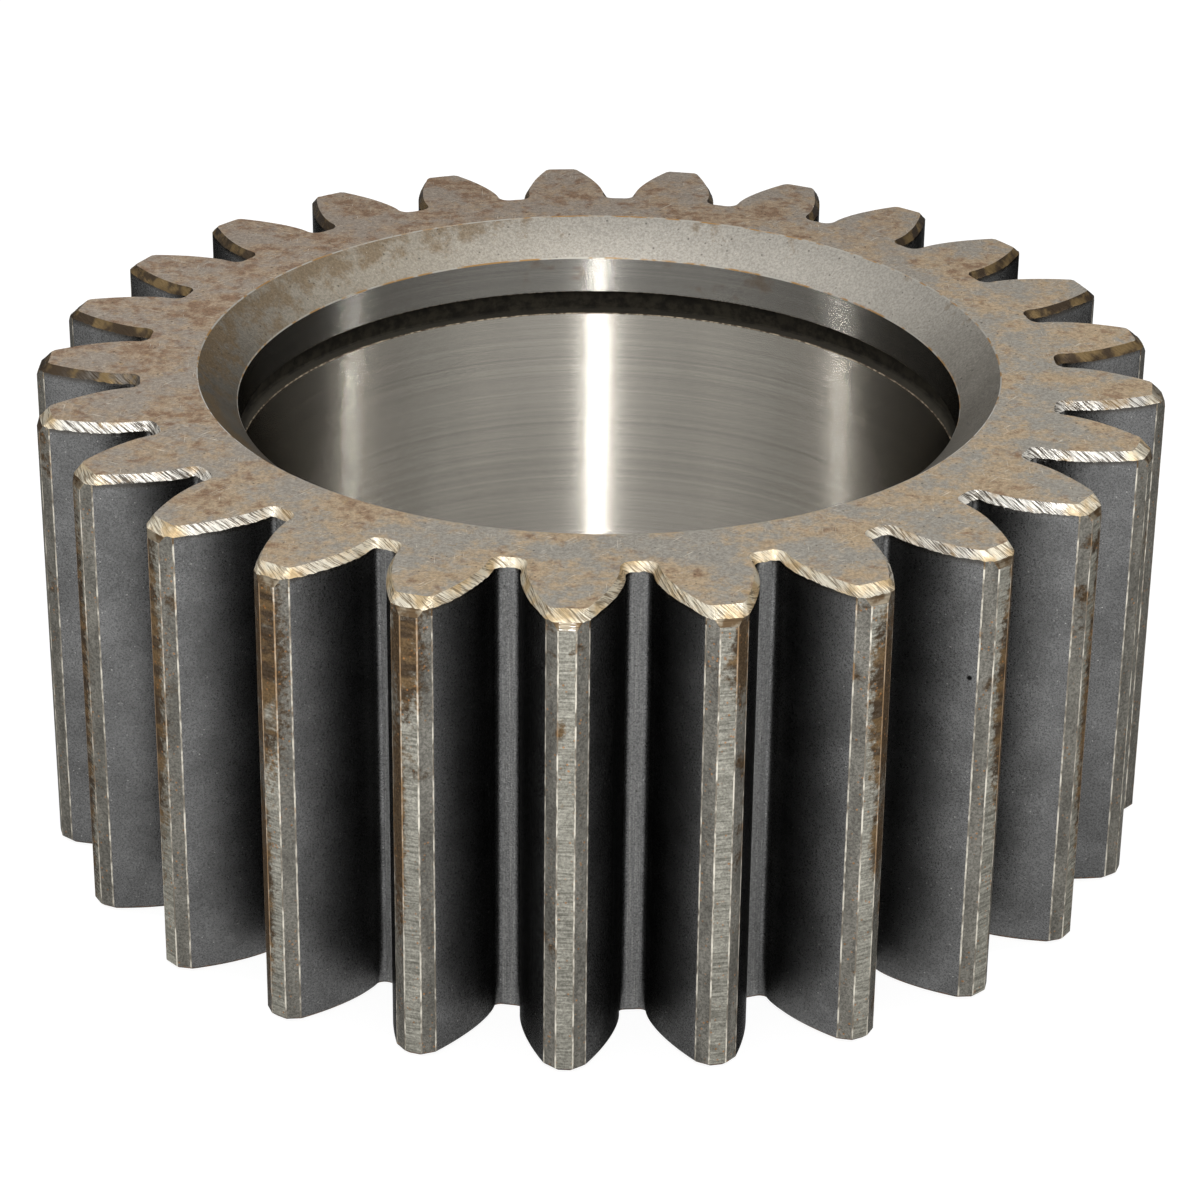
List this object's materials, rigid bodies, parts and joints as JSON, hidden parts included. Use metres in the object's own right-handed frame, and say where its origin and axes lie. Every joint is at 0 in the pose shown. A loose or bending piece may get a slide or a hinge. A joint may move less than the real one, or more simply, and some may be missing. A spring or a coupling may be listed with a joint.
{
  "type": "planet gear",
  "caption": "Straight-toothed planet gear: one steel ring with a chamfered bearing bore and an internal groove for a retaining ring.",
  "frame": {"origin": "on the gear's axis at mid face width, inside the bearing bore", "axes": "+Z along the axis towards the end with the chamfer and the ring groove, one tooth centred on -Y"},
  "size_m": [0.1398, 0.1396, 0.0584],
  "materials": {
    "gear_steel": "bare steel: stained matt end faces, ground edges, turned tips, dark hobbed flanks and a fine-bored bearing seat"
  },
  "bodies": {
    "root": {"planet_gear": "gear_steel"}
  },
  "joints": []
}
